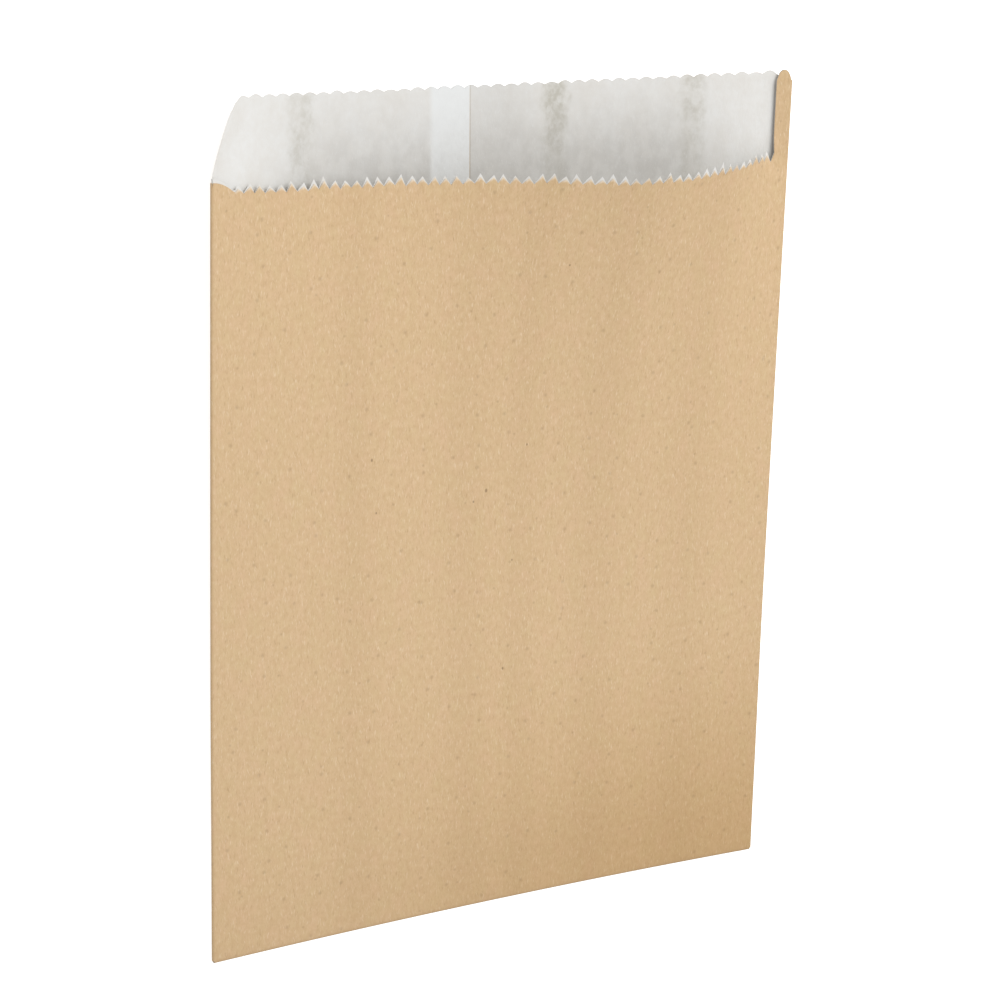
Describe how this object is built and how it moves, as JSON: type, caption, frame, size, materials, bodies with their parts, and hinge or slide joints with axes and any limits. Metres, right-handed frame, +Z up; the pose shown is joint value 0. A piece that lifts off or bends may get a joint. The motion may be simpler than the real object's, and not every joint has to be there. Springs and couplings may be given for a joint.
{
  "type": "paper lunch bag",
  "caption": "Flat brown kraft paper bag with a greaseproof liner, a toothed lip and a glued bottom flap, for carrying a sandwich or pastry.",
  "frame": {"origin": "centre of the bag's footprint, on the surface it lies on", "axes": "+X across the bag towards the fold with the ear, +Y along the bag towards the mouth, +Z up through the front panel"},
  "size_m": [0.18, 0.2378, 0.0244],
  "materials": {
    "kraft_paper": "uncoated brown kraft paper with fine lengthwise fibres",
    "greaseproof_paper": "thin smooth white greaseproof paper"
  },
  "bodies": {
    "root": {"kraft_outer": "kraft_paper", "greaseproof_liner": "greaseproof_paper"}
  },
  "joints": []
}
